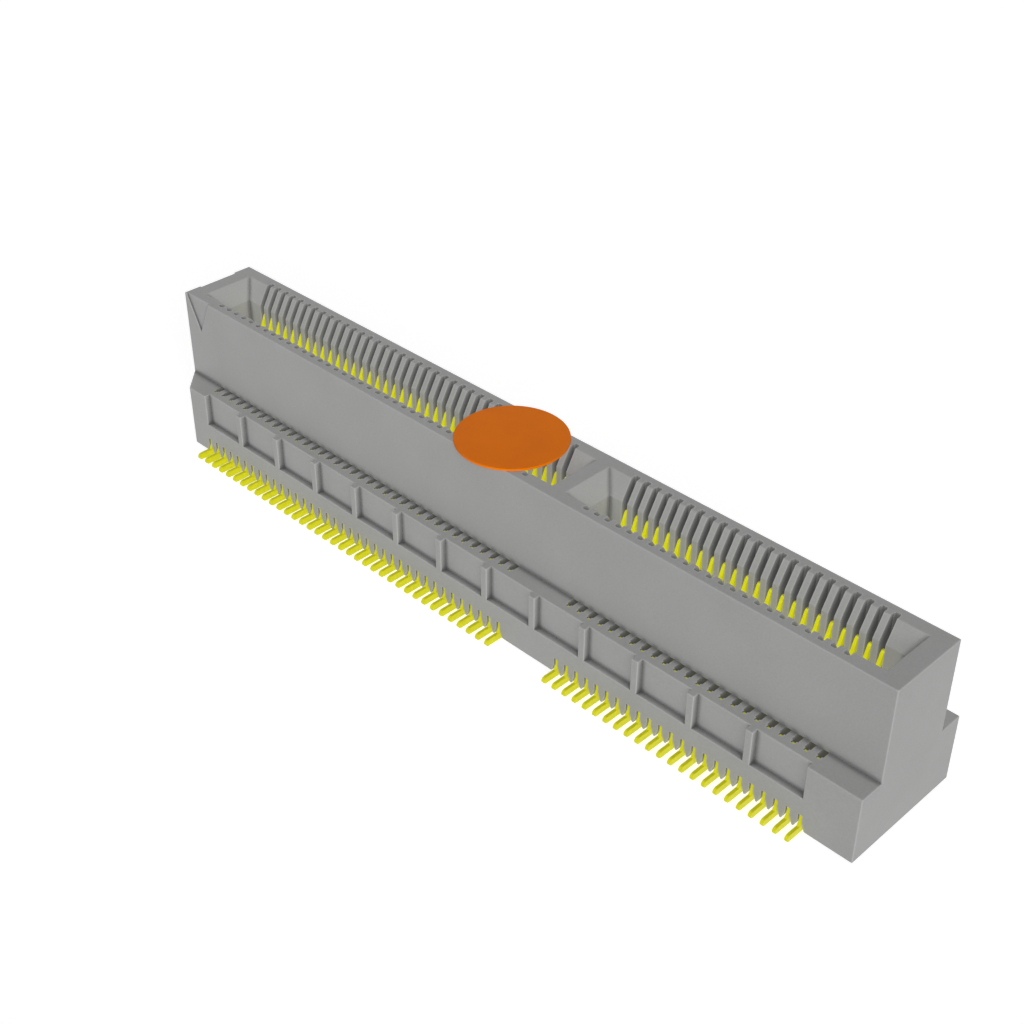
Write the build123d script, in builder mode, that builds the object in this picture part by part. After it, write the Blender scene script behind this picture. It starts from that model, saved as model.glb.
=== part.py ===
from build123d import *
import os
from math import radians, tan

os.makedirs("parts", exist_ok=True)

# A vertical card edge connector for surface mounting, with two rows of blade contacts.
# Lengths are millimetres. X runs along the card slots, from the first contact position to
# the last; the front row is on the -Y side. Z is up from the circuit board that the feet
# stand on. The origin is the centre of the footprint, in the plane of the feet.

# Contact positions
pitch = 0.80
first_bank = 37
second_bank = 23
key_gap = 6
positions_per_node = 3

# Housing, outside
standoff = 0.20
ledge_height = 4.50
body_height = 10.70
body_width = 5.51
ledge_width = 1.64
end_wall = 2.00

# Card slots
slot_width = 2.25
slot_end_margin = 1.40
key_thickness = 2.50
lead_in_depth = 1.30
lead_in_angle = 30

# Contact cavities
cavity_width = 0.40
outer_wall = 0.475
window_length = 0.745
notch_height = 1.05

# Pockets in the flanks of the base
pocket_count = 13
pocket_rib = 0.48
pocket_depth = 0.42
pocket_sill = 2.22

# First-position mark and end recess
mark_base = 2.50
mark_height = 2.50
mark_depth = 0.13
mark_from_end = 1.42
recess_width = 2.90
recess_depth = 0.13

# Contacts
sheet = 0.20
foot_overhang = 1.095
foot_thickness = 0.45
foot_nose = 0.14
leg_inset = 0.095
leg_lean = 0.15
root_clearance = 0.05
beam_width = 0.35
tip_width = 0.30
card_thickness = 1.57
contact_deflection = 0.185
contact_depth = 3.70
tip_depth = 1.95
tip_lean = 22

# Pick-up pad
pad_diameter = 7.00
pad_thickness = 0.15

# Places that follow from the sizes above
base_half = body_width / 2 + ledge_width
ledge_top = standoff + ledge_height
body_top = standoff + body_height
contact_span = (first_bank - 1 + key_gap + second_bank - 1) * pitch
housing_length = contact_span + 2 * (slot_end_margin + end_wall)
first_x = [-contact_span / 2 + i * pitch for i in range(first_bank)]
second_x = [contact_span / 2 - i * pitch for i in reversed(range(second_bank))]
contact_x = first_x + second_x
key_x = (first_x[-1] + second_x[0]) / 2
slot_spans = [
    (first_x[0] - slot_end_margin, key_x - key_thickness / 2),
    (key_x + key_thickness / 2, second_x[-1] + slot_end_margin),
]
notch_top = standoff + notch_height


# Housing, lower half: the wide base with its ledges. The real housing is one moulding. It is
# drawn as two solids that meet at the level of the ledge, where the slots have their floor.
with BuildPart() as housing_base:
    # Both corners are cut off at the first-position end
    with BuildSketch(Plane.XY.offset(standoff)) as base_plan:
        Rectangle(housing_length, 2 * base_half)
        chamfer(base_plan.vertices().group_by(Axis.X)[0], ledge_width)
    extrude(amount=ledge_height)

    # Lower end of each contact cavity, drawn as its section across the housing. It is open
    # to the ledge at its window, to the flank at the foot's notch and to the board.
    with BuildSketch(*[Plane.YZ.offset(x) for x in contact_x]):
        with BuildLine():
            Polyline(
                (slot_width / 2, standoff),
                (slot_width / 2, ledge_top),
                (body_width / 2 + window_length, ledge_top),
                (body_width / 2 + window_length, notch_top),
                (base_half, notch_top),
                (base_half, standoff),
                close=True,
            )
        make_face()
        mirror(about=Plane.YZ)
    extrude(amount=cavity_width / 2, both=True, mode=Mode.SUBTRACT)

    # Shallow pockets along both flanks, open at the ledge
    pocket_width = (contact_span - (pocket_count - 1) * pocket_rib) / pocket_count
    with BuildSketch(Plane.XY.offset(ledge_top)):
        for side in (-1, 1):
            with Locations((0, side * (base_half - pocket_depth / 2))):
                with GridLocations(pocket_width + pocket_rib, 1, pocket_count, 1):
                    Rectangle(pocket_width, pocket_depth)
    extrude(amount=pocket_sill - ledge_height, mode=Mode.SUBTRACT)
housing_base.part.label = "housing_base"
export_step(housing_base.part, "parts/housing_base.step")


# Housing, upper half: the narrow body, which is the wall round the card slots
with BuildPart() as housing_body:
    with BuildSketch(Plane.XY.offset(ledge_top)):
        Rectangle(housing_length, body_width)
        for start, end in slot_spans:
            with Locations(((start + end) / 2, 0)):
                Rectangle(end - start, slot_width, mode=Mode.SUBTRACT)
    extrude(amount=body_height - ledge_height)

    # Sloped lead-in round the mouth of each slot
    top_face = housing_body.faces().sort_by(Axis.Z)[-1]
    mouth_edges = [edge for wire in top_face.inner_wires() for edge in wire.edges()]
    lead_in_inset = lead_in_depth * tan(radians(lead_in_angle))
    chamfer(mouth_edges, lead_in_inset, lead_in_depth, reference=top_face)

    # Upper end of each contact cavity, open to the slot and at the top
    cavity_length = body_width / 2 - outer_wall - slot_width / 2
    cavity_y = slot_width / 2 + cavity_length / 2
    with BuildSketch(Plane.XY.offset(body_top)):
        with Locations(*[(x, y) for x in contact_x for y in (-cavity_y, cavity_y)]):
            Rectangle(cavity_width, cavity_length)
    extrude(amount=ledge_height - body_height, mode=Mode.SUBTRACT)

    # Triangular mark for the first position, sunk into the front
    mark_x = mark_from_end - housing_length / 2
    with BuildSketch(Plane.XZ.offset(body_width / 2)):
        with BuildLine():
            Polyline(
                (mark_x - mark_base / 2, body_top),
                (mark_x + mark_base / 2, body_top),
                (mark_x, body_top - mark_height),
                close=True,
            )
        make_face()
    extrude(amount=-mark_depth, mode=Mode.SUBTRACT)

    # Shallow recess in the end face beside it
    with BuildSketch(Plane.XY.offset(body_top)):
        with Locations((recess_depth / 2 - housing_length / 2, 0)):
            Rectangle(recess_depth, recess_width)
    extrude(amount=ledge_height - body_height, mode=Mode.SUBTRACT)
housing_body.part.label = "housing_body"
export_step(housing_body.part, "parts/housing_body.step")


# Contacts: blades cut from spring sheet, which stand on edge in their cavities. Each one
# seats under the top of its notch; its beam slants up to the card and leans back above it.
toe = base_half + foot_overhang
leg = base_half - leg_inset
root = body_width / 2 + window_length - root_clearance
touch = card_thickness / 2 - contact_deflection
touch_z = body_top - contact_depth
tip_z = body_top - tip_depth
tip = touch + (tip_z - touch_z) * tan(radians(tip_lean))
contact_outline = [
    (root, 0),
    (toe - foot_nose, 0),
    (toe, foot_thickness / 2),
    (toe - foot_nose, foot_thickness),
    (leg + leg_lean, foot_thickness),
    (leg, notch_top),
    (root, notch_top),
    (touch + beam_width, touch_z),
    (tip + tip_width, tip_z),
    (tip, tip_z),
    (touch, touch_z),
]
for row, side in (("front", -1), ("rear", 1)):
    for first in range(0, len(contact_x), positions_per_node):
        group_x = contact_x[first:first + positions_per_node]
        with BuildPart() as contacts:
            with BuildSketch(*[Plane.YZ.offset(x) for x in group_x]):
                with BuildLine():
                    Polyline(*[(side * y, z) for y, z in contact_outline], close=True)
                make_face()
            extrude(amount=sheet / 2, both=True)
        contacts.part.label = f"{row}_contacts_{first // positions_per_node + 1:02d}"
        export_step(contacts.part, f"parts/{contacts.part.label}.step")


# Pick-up pad: a disc of film stuck on the body's top, for the placing machine's nozzle
with BuildPart() as pickup_pad:
    with BuildSketch(Plane.XY.offset(body_top)):
        Circle(pad_diameter / 2)
    extrude(amount=pad_thickness)
pickup_pad.part.label = "pickup_pad"
export_step(pickup_pad.part, "parts/pickup_pad.step")
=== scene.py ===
import bmesh
import bpy
from math import cos, radians, sin, tan
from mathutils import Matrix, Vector


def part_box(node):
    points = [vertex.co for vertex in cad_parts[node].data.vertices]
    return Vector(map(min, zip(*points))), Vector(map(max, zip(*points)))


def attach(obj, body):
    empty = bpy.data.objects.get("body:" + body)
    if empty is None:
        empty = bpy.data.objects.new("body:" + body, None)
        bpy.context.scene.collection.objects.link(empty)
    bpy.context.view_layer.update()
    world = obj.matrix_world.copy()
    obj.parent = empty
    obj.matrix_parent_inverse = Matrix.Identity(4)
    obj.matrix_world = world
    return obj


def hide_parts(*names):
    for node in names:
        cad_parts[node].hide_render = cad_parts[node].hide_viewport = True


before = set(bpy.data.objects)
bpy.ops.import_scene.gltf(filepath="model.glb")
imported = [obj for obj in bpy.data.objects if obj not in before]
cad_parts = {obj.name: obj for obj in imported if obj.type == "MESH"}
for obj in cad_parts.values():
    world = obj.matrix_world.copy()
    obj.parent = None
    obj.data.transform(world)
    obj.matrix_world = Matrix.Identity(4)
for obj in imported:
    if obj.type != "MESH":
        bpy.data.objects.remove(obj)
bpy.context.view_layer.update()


# Housing. The one big moulding of the connector: a narrow body with both card slots in it, on a
# wide base with a ledge along each side. It is injection moulded in a grey glass-filled plastic.
# Like every piece of the connector it is drawn in millimetres, and brought to metres at the end.
def millimetres(node):
    # The lowest and highest corners of a node
    return [Vector([round(1000 * value, 3) for value in corner]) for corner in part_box(node)]


base_low, base_high = millimetres("housing_base")
body_low, body_high = millimetres("housing_body")
half_length, base_y, body_y = base_high.x, base_high.y, body_high.y
underside, ledge_z, top_z = base_low.z, body_low.z, body_high.z


def hold(*pieces):
    # Leaves edit mode and selects these pieces alone, the first one active
    if bpy.context.mode != "OBJECT":
        bpy.ops.object.mode_set(mode="OBJECT")
    bpy.ops.object.select_all(action="DESELECT")
    for piece in pieces:
        piece.select_set(True)
    if pieces:
        bpy.context.view_layer.objects.active = pieces[0]


def block(name, low, high):
    # A cube primitive drawn out between two corners
    hold()
    bpy.ops.mesh.primitive_cube_add(size=1, location=(Vector(low) + Vector(high)) / 2)
    piece = bpy.context.object
    piece.name = name
    piece.scale = Vector(high) - Vector(low)
    bpy.ops.object.transform_apply(location=True, rotation=True, scale=True)
    return piece


def edit(piece):
    hold(piece)
    bpy.ops.object.mode_set(mode="EDIT")


housing = block("housing", base_low, base_high)
edit(housing)

# Two corners of the base are cut off at the first-position end. What is nearer than a hair to a
# height or a depth counts as being at it.
hair = 0.01


def level(edge):
    # Whether the edge lies flat, to within a hair
    return abs(edge.verts[0].co.z - edge.verts[1].co.z) < hair


def middle(part):
    corners = [corner.co for corner in part.verts]
    return sum(corners, Vector()) / len(corners)


def choose(kind, test):
    # Selects the faces, edges or corners of the piece in hand that pass the test
    bpy.ops.mesh.select_mode(type=kind)
    bpy.ops.mesh.select_all(action="DESELECT")
    mesh = bmesh.from_edit_mesh(bpy.context.object.data)
    for part in {"VERT": mesh.verts, "EDGE": mesh.edges, "FACE": mesh.faces}[kind]:
        if test(part):
            part.select_set(True)
    mesh.select_flush_mode()
    bmesh.update_edit_mesh(bpy.context.object.data)


choose("EDGE", lambda e: middle(e).x < 0 and not level(e))
bpy.ops.mesh.bevel(offset=base_y - body_y, segments=1, affect="EDGES")


# The body is drawn up out of the base, between the two ledges
def split(place, way):
    # Cuts all the faces of the piece in hand along a plane
    bpy.ops.mesh.select_all(action="SELECT")
    bpy.ops.mesh.bisect(plane_co=place, plane_no=way, threshold=0.00001)


def facing(face, x, y, z):
    # Whether the face looks this way, give or take 25 degrees
    return face.normal.dot(Vector((x, y, z))) > 0.9


def pull(x, y, z):
    bpy.ops.mesh.extrude_region_move(TRANSFORM_OT_translate={"value": (x, y, z)})


for y in (-body_y, body_y):
    split((0, y, 0), (0, 1, 0))
choose("FACE", lambda f: facing(f, 0, 0, 1) and abs(middle(f).y) < body_y)
pull(0, 0, top_z - ledge_z)
bpy.ops.mesh.select_all(action="SELECT")
bpy.ops.mesh.dissolve_limited(angle_limit=radians(1))

# Both card slots, each from a margin beyond its outermost contact to the key wall between them,
# with a sloped lead-in round its mouth
pitch = 0.80
long_row, short_row, key_gap = 37, 23, 6
last_contact = (long_row - 1 + key_gap + short_row - 1) * pitch / 2
first_contact = -last_contact
key_x = first_contact + (long_row - 1 + key_gap / 2) * pitch
key_thickness = 2.50
slot_y = 1.125
slot_end_margin = 1.40
lead_in_depth, lead_in_angle = 1.30, radians(30)
lead_in = lead_in_depth * tan(lead_in_angle)
# How far a cutting tool stands out of the moulding, where it cuts through a face
clear = 1.0


def apply_step(piece, kind, **settings):
    # Adds one modifier to the piece and applies it
    hold(piece)
    step = piece.modifiers.new("step", kind)
    for name, value in settings.items():
        setattr(step, name, value)
    bpy.ops.object.modifier_apply(modifier=step.name)


def cut(piece, tool):
    apply_step(piece, "BOOLEAN", operation="DIFFERENCE", solver="EXACT", object=tool)
    bpy.data.objects.remove(tool)


for start, end in (
    (first_contact - slot_end_margin, key_x - key_thickness / 2),
    (key_x + key_thickness / 2, last_contact + slot_end_margin),
):
    tool = block("slot", (start, -slot_y, ledge_z), (end, slot_y, top_z - lead_in_depth))
    edit(tool)
    choose("FACE", lambda f: facing(f, 0, 0, 1))
    pull(0, 0, lead_in_depth)
    bpy.ops.transform.resize(
        value=(1 + 2 * lead_in / (end - start), 1 + lead_in / slot_y, 1),
        center_override=((start + end) / 2, 0, top_z),
    )
    pull(0, 0, clear)
    cut(housing, tool)

# The triangular mark on the front, only skin deep
skin = 0.13
mark_from_end = 1.42
mark_width, mark_height = 2.50, 2.50
mark_x = mark_from_end - half_length
tool = block(
    "mark",
    (mark_x - mark_width / 2, -body_y - clear, top_z - mark_height),
    (mark_x + mark_width / 2, -body_y + skin, top_z),
)
edit(tool)
choose("VERT", lambda v: v.co.z < top_z - mark_height / 2)
bpy.ops.transform.resize(value=(0, 1, 1), center_override=(mark_x, 0, 0))
choose("FACE", lambda f: facing(f, 0, 0, 1))
pull(0, 0, clear)
bpy.ops.mesh.select_all(action="SELECT")
bpy.ops.mesh.remove_doubles(threshold=0.001)
cut(housing, tool)

# The recess in the end beside it, as shallow as the mark
recess_width = 2.90
tool = block(
    "recess",
    (-half_length - clear, -recess_width / 2, ledge_z),
    (-half_length + skin, recess_width / 2, top_z + clear),
)
cut(housing, tool)


# Thirteen shallow pockets in each flank, open at the ledge
def repeat(piece, count, distance):
    apply_step(
        piece,
        "ARRAY",
        count=count,
        use_relative_offset=False,
        use_constant_offset=True,
        constant_offset_displace=(distance, 0, 0),
    )


def mirror_to_front(piece):
    apply_step(piece, "MIRROR", use_axis=(False, True, False), use_mirror_merge=False)


pockets = 13
pocket_rib = 0.48
pocket_depth = 0.42
pocket_sill = 2.42
pocket_width = (last_contact - first_contact - (pockets - 1) * pocket_rib) / pockets
tool = block(
    "pockets",
    (first_contact, base_y - pocket_depth, pocket_sill),
    (first_contact + pocket_width, base_y + clear, ledge_z + clear),
)
repeat(tool, pockets, pocket_width + pocket_rib)
mirror_to_front(tool)
cut(housing, tool)

# The outer edges come out of the mould a little round
edge_round, least_turn = 0.045, radians(35)
edit(housing)
choose("EDGE", lambda e: e.is_convex and e.calc_face_angle(0) > least_turn)
bpy.ops.mesh.bevel(offset=edge_round, segments=2, affect="EDGES")


# The mould's pins leave a cavity for each contact. Each pin is drawn at the first position of the
# rear row, and repeated for both banks and both rows.
def copy_of(piece, name):
    hold()
    twin = piece.copy()
    twin.data = piece.data.copy()
    twin.name = name
    bpy.context.collection.objects.link(twin)
    return twin


def move(piece, x, y, z):
    hold(piece)
    piece.location = (x, y, z)
    bpy.ops.object.transform_apply(location=True, rotation=True, scale=True)


def join(pieces):
    hold(*pieces)
    bpy.ops.object.join()
    return pieces[0]


def cut_at_each_contact(pin):
    short_bank = copy_of(pin, "short_bank")
    move(short_bank, last_contact - (short_row - 1) * pitch - first_contact, 0, 0)
    repeat(pin, long_row, pitch)
    repeat(short_bank, short_row, pitch)
    pins = join([pin, short_bank])
    mirror_to_front(pins)
    cut(housing, pins)


def set_width(share):
    # Narrows or widens what is selected, about the middle of the first contact
    bpy.ops.transform.resize(value=(share, 1, 1), center_override=(first_contact, 0, 0))


# Below the ledge: a chamber through to the underside, with its window in the ledge, which ends
# in a narrow slit for the contact's post
cavity_width = 0.40
window_end, shoulder = 3.28, 0.01
slit_end, slit_width = 3.50, 0.24
chamber = block(
    "chamber",
    (first_contact - cavity_width / 2, slot_y, underside - clear),
    (first_contact + cavity_width / 2, window_end, ledge_z),
)
edit(chamber)
choose("FACE", lambda f: facing(f, 0, 1, 0))
pull(0, shoulder, 0)
set_width(slit_width / cavity_width)
pull(0, slit_end - window_end - shoulder, 0)
split((0, body_y, 0), (0, 1, 0))
choose("FACE", lambda f: facing(f, 0, 0, 1) and middle(f).y > body_y)
pull(0, 0, clear)
cut_at_each_contact(chamber)

# Above it: the cavity beside the slot, open at the top, with its back corners cut off
cavity_back = 2.28
back_cut, back_width = 0.124, 0.256
lip = 0.01
cavity = block(
    "cavity",
    (first_contact - cavity_width / 2, slot_y, ledge_z - clear),
    (first_contact + cavity_width / 2, cavity_back, top_z + clear),
)
edit(cavity)
split((0, cavity_back - back_cut, 0), (0, 1, 0))
choose("VERT", lambda v: v.co.y > cavity_back - hair)
set_width(back_width / cavity_width)
split((0, 0, ledge_z + lip), (0, 0, 1))
choose("FACE", lambda f: facing(f, 0, -1, 0) and middle(f).z > ledge_z + lip)
pull(0, -slot_y / 2, 0)
cut_at_each_contact(cavity)

# The notch at the foot of the flank, where the contact leaves, flared towards the board
notch_top, flare_top = 1.25, 0.80
notch_width, flare_width = 0.265, 0.72
overlap = 0.02
notch = block(
    "notch",
    (first_contact - notch_width / 2, slit_end - overlap, underside - clear),
    (first_contact + notch_width / 2, base_y + clear, notch_top),
)
edit(notch)
split((0, 0, flare_top), (0, 0, 1))
split((0, 0, underside), (0, 0, 1))
choose("VERT", lambda v: v.co.z < underside + hair)
set_width(flare_width / notch_width)
cut_at_each_contact(notch)


def to_metres(piece):
    hold(piece)
    piece.scale = (0.001, 0.001, 0.001)
    bpy.ops.object.transform_apply(location=True, rotation=True, scale=True)


to_metres(housing)


class Wire:
    # One output of a node. Sums, differences and products of wires add their Math nodes.
    def __init__(self, tree, socket=None):
        self.tree = tree
        self.socket = socket

    def node(self, kind, settings=None, values=None, output=0):
        made = self.tree.nodes.new(kind)
        for name, value in (settings or {}).items():
            if name == "stops":
                for stop, (place, colour) in zip(made.color_ramp.elements, value):
                    stop.position = place
                    stop.color = colour
            else:
                setattr(made, name, value)
        for name, value in (values or {}).items():
            if isinstance(value, Wire):
                self.tree.links.new(value.socket, made.inputs[name])
            else:
                made.inputs[name].default_value = value
        return Wire(self.tree, made.outputs[output]) if len(made.outputs) else None

    def worked_out(self, operation, first, second):
        return self.node("ShaderNodeMath", {"operation": operation}, {0: first, 1: second})

    def __add__(self, other):
        return self.worked_out("ADD", self, other)

    def __radd__(self, other):
        return self.worked_out("ADD", other, self)

    def __sub__(self, other):
        return self.worked_out("SUBTRACT", self, other)

    def __rsub__(self, other):
        return self.worked_out("SUBTRACT", other, self)

    def __mul__(self, other):
        return self.worked_out("MULTIPLY", self, other)

    def __rmul__(self, other):
        return self.worked_out("MULTIPLY", other, self)


def new_finish(name):
    finish = bpy.data.materials.new(name)
    finish.use_nodes = True
    finish.node_tree.nodes.clear()
    return finish, Wire(finish.node_tree)


def mottle(wire, place, scale, detail):
    # A noise whose blotches are about 1 / scale metres across
    return wire.node("ShaderNodeTexNoise", {}, {"Vector": place, "Scale": scale, "Detail": detail})


def stretched(wire, place, scale):
    return wire.node("ShaderNodeMapping", {}, {"Vector": place, "Scale": scale})


def ramp(wire, share, first, second):
    # Goes from one colour to the other over the middle of a noise's range
    stops = [(0.30, (*first, 1)), (0.70, (*second, 1))]
    return wire.node("ShaderNodeValToRGB", {"stops": stops}, {"Fac": share})


def bump(wire, height, strength, depth):
    values = {"Height": height, "Strength": strength, "Distance": depth}
    return wire.node("ShaderNodeBump", {}, values)


def put_on(piece, finish, wire, values):
    # Ends a finish with its shader and gives it to the piece
    shader = wire.node("ShaderNodeBsdfPrincipled", {}, values)
    wire.node("ShaderNodeOutputMaterial", {}, {"Surface": shader})
    piece.data.materials.clear()
    piece.data.materials.append(finish)


def step_up(wire, value, low, high):
    # Climbs from 0 at the low value to 1 at the high one
    values = {"Value": value, "From Min": low, "From Max": high}
    return wire.node("ShaderNodeMapRange", {}, values)


def shelter(wire, reach, closed, free, inside=False):
    # 0 where other walls stand within reach and 1 on a free face. Looked at from inside the
    # plastic, it is 0 on an outer edge and 1 on a flat.
    settings = {"samples": 4, "only_local": True, "inside": inside}
    found = wire.node("ShaderNodeAmbientOcclusion", settings, {"Distance": reach}, output="AO")
    return step_up(wire, found, closed, free)


def tinted(wire, share, first, second):
    # A Mix node has its two colours at inputs 6 and 7, and the mixed one at output 2
    values = {0: share, 6: first, 7: second}
    return wire.node("ShaderNodeMix", {"data_type": "RGBA"}, values, output=2)


# The plastic: an even grey, with short glass fibres along the flow, a spark-eroded grain and slow
# clouds from the melt. Outer edges get a painted highlight and are a little smoother, inner
# corners get painted shade, and the narrow openings for the contacts are painted dark as shade.
edge_highlight_grey = (0.390, 0.390, 0.385, 1)
corner_shade_grey = (0.140, 0.140, 0.138, 1)
opening_shade_grey = (0.060, 0.060, 0.059, 1)
moulded, wire = new_finish("grey_moulding")
place = wire.node("ShaderNodeTexCoord", output="Object")
clouds = mottle(wire, place, scale=260.0, detail=3.0)
along_flow = stretched(wire, place, scale=(0.35, 1.0, 1.0))
fibres = mottle(wire, along_flow, scale=16000.0, detail=2.0)
grain = mottle(wire, place, scale=9000.0, detail=4.0)
mixed = 0.30 * clouds + 0.35 * fibres + 0.35 * grain
grey = ramp(wire, mixed, (0.288, 0.288, 0.285), (0.348, 0.348, 0.344))
# Painted highlight: outer edges are painted lighter, standing in for light caught on their small
# rounds. The same mask makes them a little smoother.
edge_highlight_and_rub = 1 - shelter(wire, reach=0.00010, closed=0.55, free=0.98, inside=True)
grey = tinted(wire, edge_highlight_and_rub, grey, edge_highlight_grey)
# Painted shade: inner corners, where walls stand close, are painted darker.
out_of_corner_shade = shelter(wire, reach=0.00032, closed=0.55, free=1.0)
grey = tinted(wire, out_of_corner_shade, corner_shade_grey, grey)
# Painted shade: the narrow openings for the contacts are painted dark.
open_wide = shelter(wire, reach=0.0012, closed=0.10, free=0.72)
grey = tinted(wire, open_wide, opening_shade_grey, grey)
put_on(housing, moulded, wire, {
    "Base Color": grey,
    "Roughness": 0.50 + 0.12 * grain - 0.10 * edge_highlight_and_rub,
    "Normal": bump(wire, grain + 0.5 * fibres, strength=0.35, depth=0.00001),
    "Specular IOR Level": 0.35,
})
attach(housing, "root")
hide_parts("housing_base", "housing_body")


# Contacts. Sixty blades in each row, stamped from spring sheet and plated yellow, so each stands
# on edge. Its post is pressed into the slit of its window. Its foot leaves by the notch and lies
# on the board, and its beam leans in to the card and back out at the tip.
sheet = 0.20
foot_height = 0.45
toe_y, heel_y, heel_cut = 5.49, 3.45, 0.10
leg_y, leg_flare, flare_height = 4.30, 0.16, 0.30
post_front, post_back, post_top, post_cut = 3.45, 3.27, 4.60, 0.05
root_z, root_radius = 2.00, 0.055
touch_y, touch_z, touch_radius, beam_width = 0.62, 7.20, 0.50, 0.35
tip_y, tip_z, tip_radius = 1.43, 8.81, 0.18


def arc(y, z, radius, start, end, steps):
    # Points on a circle from one angle to the other, in degrees
    turns = [radians(start + (end - start) * step / steps) for step in range(steps + 1)]
    return [(y + radius * cos(turn), z + radius * sin(turn)) for turn in turns]


outline = [
    (heel_y, heel_cut),
    (heel_y + heel_cut, 0),
    *arc(toe_y - foot_height / 2, foot_height / 2, foot_height / 2, -90, 90, 6),
    (leg_y + leg_flare, foot_height),
    (leg_y, foot_height + flare_height),
    (leg_y, notch_top),
    (post_front, notch_top),
    (post_front, post_top - post_cut),
    (post_front - post_cut, post_top),
    (post_back + post_cut, post_top),
    (post_back, post_top - post_cut),
    *arc(post_back - root_radius, root_z, root_radius, 0, -180, 2),
    (touch_y + beam_width, touch_z),
    *arc(tip_y, tip_z, tip_radius, 20, 160, 3),
    *arc(touch_y + touch_radius, touch_z, touch_radius, 160, 200, 2),
]
hold()
bpy.ops.mesh.primitive_plane_add(size=0.1, location=(0, *outline[0]))
blade = bpy.context.object
blade.name = "blade"
bpy.ops.object.transform_apply(location=True, rotation=True, scale=True)
edit(blade)
bpy.ops.mesh.select_mode(type="VERT")
bpy.ops.mesh.select_all(action="SELECT")
bpy.ops.mesh.merge(type="CENTER")
for (y, z), (next_y, next_z) in zip(outline, outline[1:]):
    pull(0, next_y - y, next_z - z)
bpy.ops.mesh.select_all(action="SELECT")
bpy.ops.mesh.edge_face_add()
apply_step(blade, "SOLIDIFY", thickness=sheet, offset=0)
edit(blade)
bpy.ops.mesh.select_all(action="SELECT")
bpy.ops.mesh.normals_make_consistent(inside=False)
hold(blade)
bpy.ops.object.shade_smooth_by_angle(angle=radians(32))

# The plating: a bright yellow with fine rolling lines along the blade, dulled in places. The tips,
# which meet the card, are painted lighter than the feet, as painted light against the slot's
# shade.
tail_height, tip_height = 0.0045, 0.0065
plated, wire = new_finish("yellow_plating")
place = wire.node("ShaderNodeTexCoord", output="Object")
along_blade = stretched(wire, place, scale=(1.0, 1.0, 0.10))
lines = mottle(wire, along_blade, scale=26000.0, detail=2.0)
dull = mottle(wire, place, scale=2200.0, detail=3.0)
streaks = 0.6 * dull + 0.4 * lines
height = wire.node("ShaderNodeSeparateXYZ", {}, {"Vector": place}, output="Z")
# Painted light: the yellow is painted lighter from the tail height up to the tips, against the
# shade they stand in deep in the slot.
tip_painted_light = step_up(wire, height, tail_height, tip_height)
tail_yellow = ramp(wire, streaks, (0.590, 0.578, 0.004), (0.680, 0.668, 0.008))
tip_painted_lighter_yellow = ramp(wire, streaks, (0.840, 0.828, 0.012), (0.940, 0.928, 0.020))
put_on(blade, plated, wire, {
    "Base Color": tinted(wire, tip_painted_light, tail_yellow, tip_painted_lighter_yellow),
    "Metallic": 0.30,
    "Roughness": 0.34 + 0.14 * dull,
    "Normal": bump(wire, lines, strength=0.2, depth=0.000004),
    "Specular IOR Level": 0.25,
})

contact_x = [first_contact + i * pitch for i in range(long_row)]
contact_x += [last_contact - i * pitch for i in reversed(range(short_row))]
blades_per_node = 3
for row, turn in (("front", 180), ("rear", 0)):
    for first in range(0, len(contact_x), blades_per_node):
        group = []
        for x in contact_x[first:first + blades_per_node]:
            twin = copy_of(blade, f"{row}_blade")
            twin.rotation_euler.z = radians(turn)
            move(twin, x, 0, 0)
            group.append(twin)
        blades = join(group)
        number = f"{first // blades_per_node + 1:02d}"
        blades.name = f"{row}_blades_{number}"
        to_metres(blades)
        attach(blades, "root")
        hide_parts(f"{row}_contacts_{number}")
bpy.data.objects.remove(blade)


# Pick-up pad. A disc die-cut from amber film with a thin layer of adhesive, stuck over the middle
# of both slots for the placing machine's nozzle, and peeled off once the part is soldered.
pad_low, pad_high = millimetres("pickup_pad")
thickness = pad_high.z - pad_low.z
rim_round, rim_inset = 0.025, 0.12
hold()
bpy.ops.mesh.primitive_cylinder_add(
    vertices=96,
    radius=pad_high.x,
    depth=thickness,
    location=(0, 0, pad_low.z + thickness / 2),
)
pad = bpy.context.object
pad.name = "pad"
bpy.ops.object.transform_apply(location=True, rotation=True, scale=True)
edit(pad)
choose("EDGE", level)
bpy.ops.mesh.bevel(offset=rim_round, segments=2, affect="EDGES")

# The two round faces are the only ones with more than four corners
choose("FACE", lambda f: len(f.verts) > 4)
bpy.ops.mesh.inset(thickness=rim_inset, depth=0)
hold(pad)
bpy.ops.object.shade_smooth_by_angle(angle=radians(10))
to_metres(pad)

# The film: even amber with a faint haze and a slight orange-peel surface
amber, wire = new_finish("amber_film")
place = wire.node("ShaderNodeTexCoord", output="Object")
haze = mottle(wire, place, scale=420.0, detail=3.0)
peel = mottle(wire, place, scale=2600.0, detail=2.0)
put_on(pad, amber, wire, {
    "Base Color": ramp(wire, haze, (0.700, 0.154, 0.000), (0.760, 0.168, 0.000)),
    "Roughness": 0.38 + 0.1 * haze,
    "Normal": bump(wire, peel, strength=0.15, depth=0.00001),
    "Specular IOR Level": 0.06,
})
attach(pad, "root")
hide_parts("pickup_pad")


# Studio. A pale floor that runs out of sight under the part, which stands on its solder feet.
# To the camera and in reflections it is nearly plain white, and it keeps a soft shadow. It lies
# a hair under the feet, so that no two faces share a plane. All of this is in metres.
def watched(wire):
    # 1 for what the camera sees, straight or in a reflection, and 0 for the light on the part
    rays = ("Is Camera Ray", "Is Glossy Ray", "Is Transmission Ray")
    seen = [wire.node("ShaderNodeLightPath", output=ray) for ray in rays]
    return seen[0] + seen[1] + seen[2]


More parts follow.
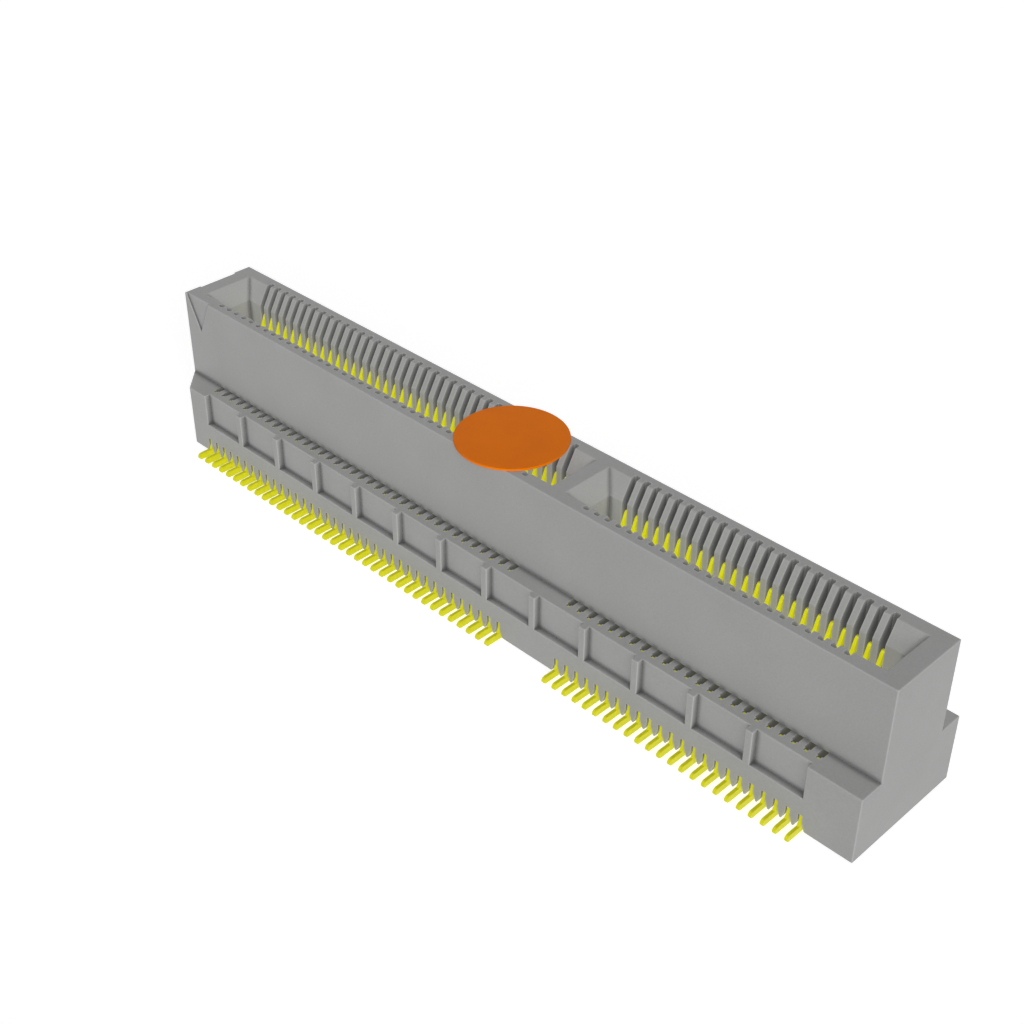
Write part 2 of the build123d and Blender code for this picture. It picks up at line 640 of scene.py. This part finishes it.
floor_z = -0.00001
hold()
bpy.ops.mesh.primitive_plane_add(size=4, location=(0, 0, floor_z))
floor = bpy.context.object
floor.name = "floor"
bpy.ops.object.transform_apply(location=True, rotation=True, scale=True)
pale, wire = new_finish("pale_floor")
bounce = wire.node("ShaderNodeBsdfDiffuse", {}, {"Color": (0.50, 0.50, 0.50, 1)})
shaded = wire.node("ShaderNodeBsdfDiffuse", {}, {"Color": (0.80, 0.80, 0.80, 1)})
glow = wire.node("ShaderNodeEmission", {}, {"Color": (1, 1, 1, 1), "Strength": 0.47})
paper = wire.node("ShaderNodeAddShader", {}, {0: shaded, 1: glow})
surface = wire.node("ShaderNodeMixShader", {}, {0: watched(wire), 1: bounce, 2: paper})
wire.node("ShaderNodeOutputMaterial", {}, {"Surface": surface})
floor.data.materials.append(pale)

world = bpy.data.worlds.new("studio")
bpy.context.scene.world = world
world.use_nodes = True
world.node_tree.nodes.clear()
wire = Wire(world.node_tree)
room = wire.node("ShaderNodeBackground", {}, {"Color": (1, 1, 1, 1), "Strength": 0.14})
white = wire.node("ShaderNodeBackground", {}, {"Color": (1, 1, 1, 1), "Strength": 1.0})
surface = wire.node("ShaderNodeMixShader", {}, {0: watched(wire), 1: room, 2: white})
wire.node("ShaderNodeOutputWorld", {}, {"Surface": surface})

# A key lamp from the right, and two broad fills that cast no shadow and show in no reflection
for name, toward, strength, spread, is_key in (
    ("key", (0.76, -0.48, 0.42), 0.62, 26, True),
    ("front_fill", (0.65, -0.65, 0.40), 2.8, 40, False),
    ("back_fill", (-0.70, 0.69, 0.18), 1.6, 40, False),
):
    lamp_data = bpy.data.lights.new(name, "SUN")
    lamp_data.energy = strength
    lamp_data.angle = radians(spread)
    lamp_data.use_shadow = is_key
    lamp = bpy.data.objects.new(name, lamp_data)
    lamp.visible_glossy = is_key
    lamp.rotation_euler = Vector(toward).to_track_quat("Z", "Y").to_euler()
    bpy.context.collection.objects.link(lamp)

# The camera looks along the space diagonal at the middle of the part
reach, aim_height = 0.057345, 0.00556
tilt = 54.7356
camera_data = bpy.data.cameras.new("camera")
camera_data.angle = radians(35)
camera_data.clip_start = 0.001
camera = bpy.data.objects.new("camera", camera_data)
camera.location = (reach, -reach, reach + aim_height)
camera.rotation_euler = (radians(tilt), 0, radians(45))
bpy.context.collection.objects.link(camera)
bpy.context.scene.camera = camera
bpy.context.scene.view_settings.view_transform = "Standard"
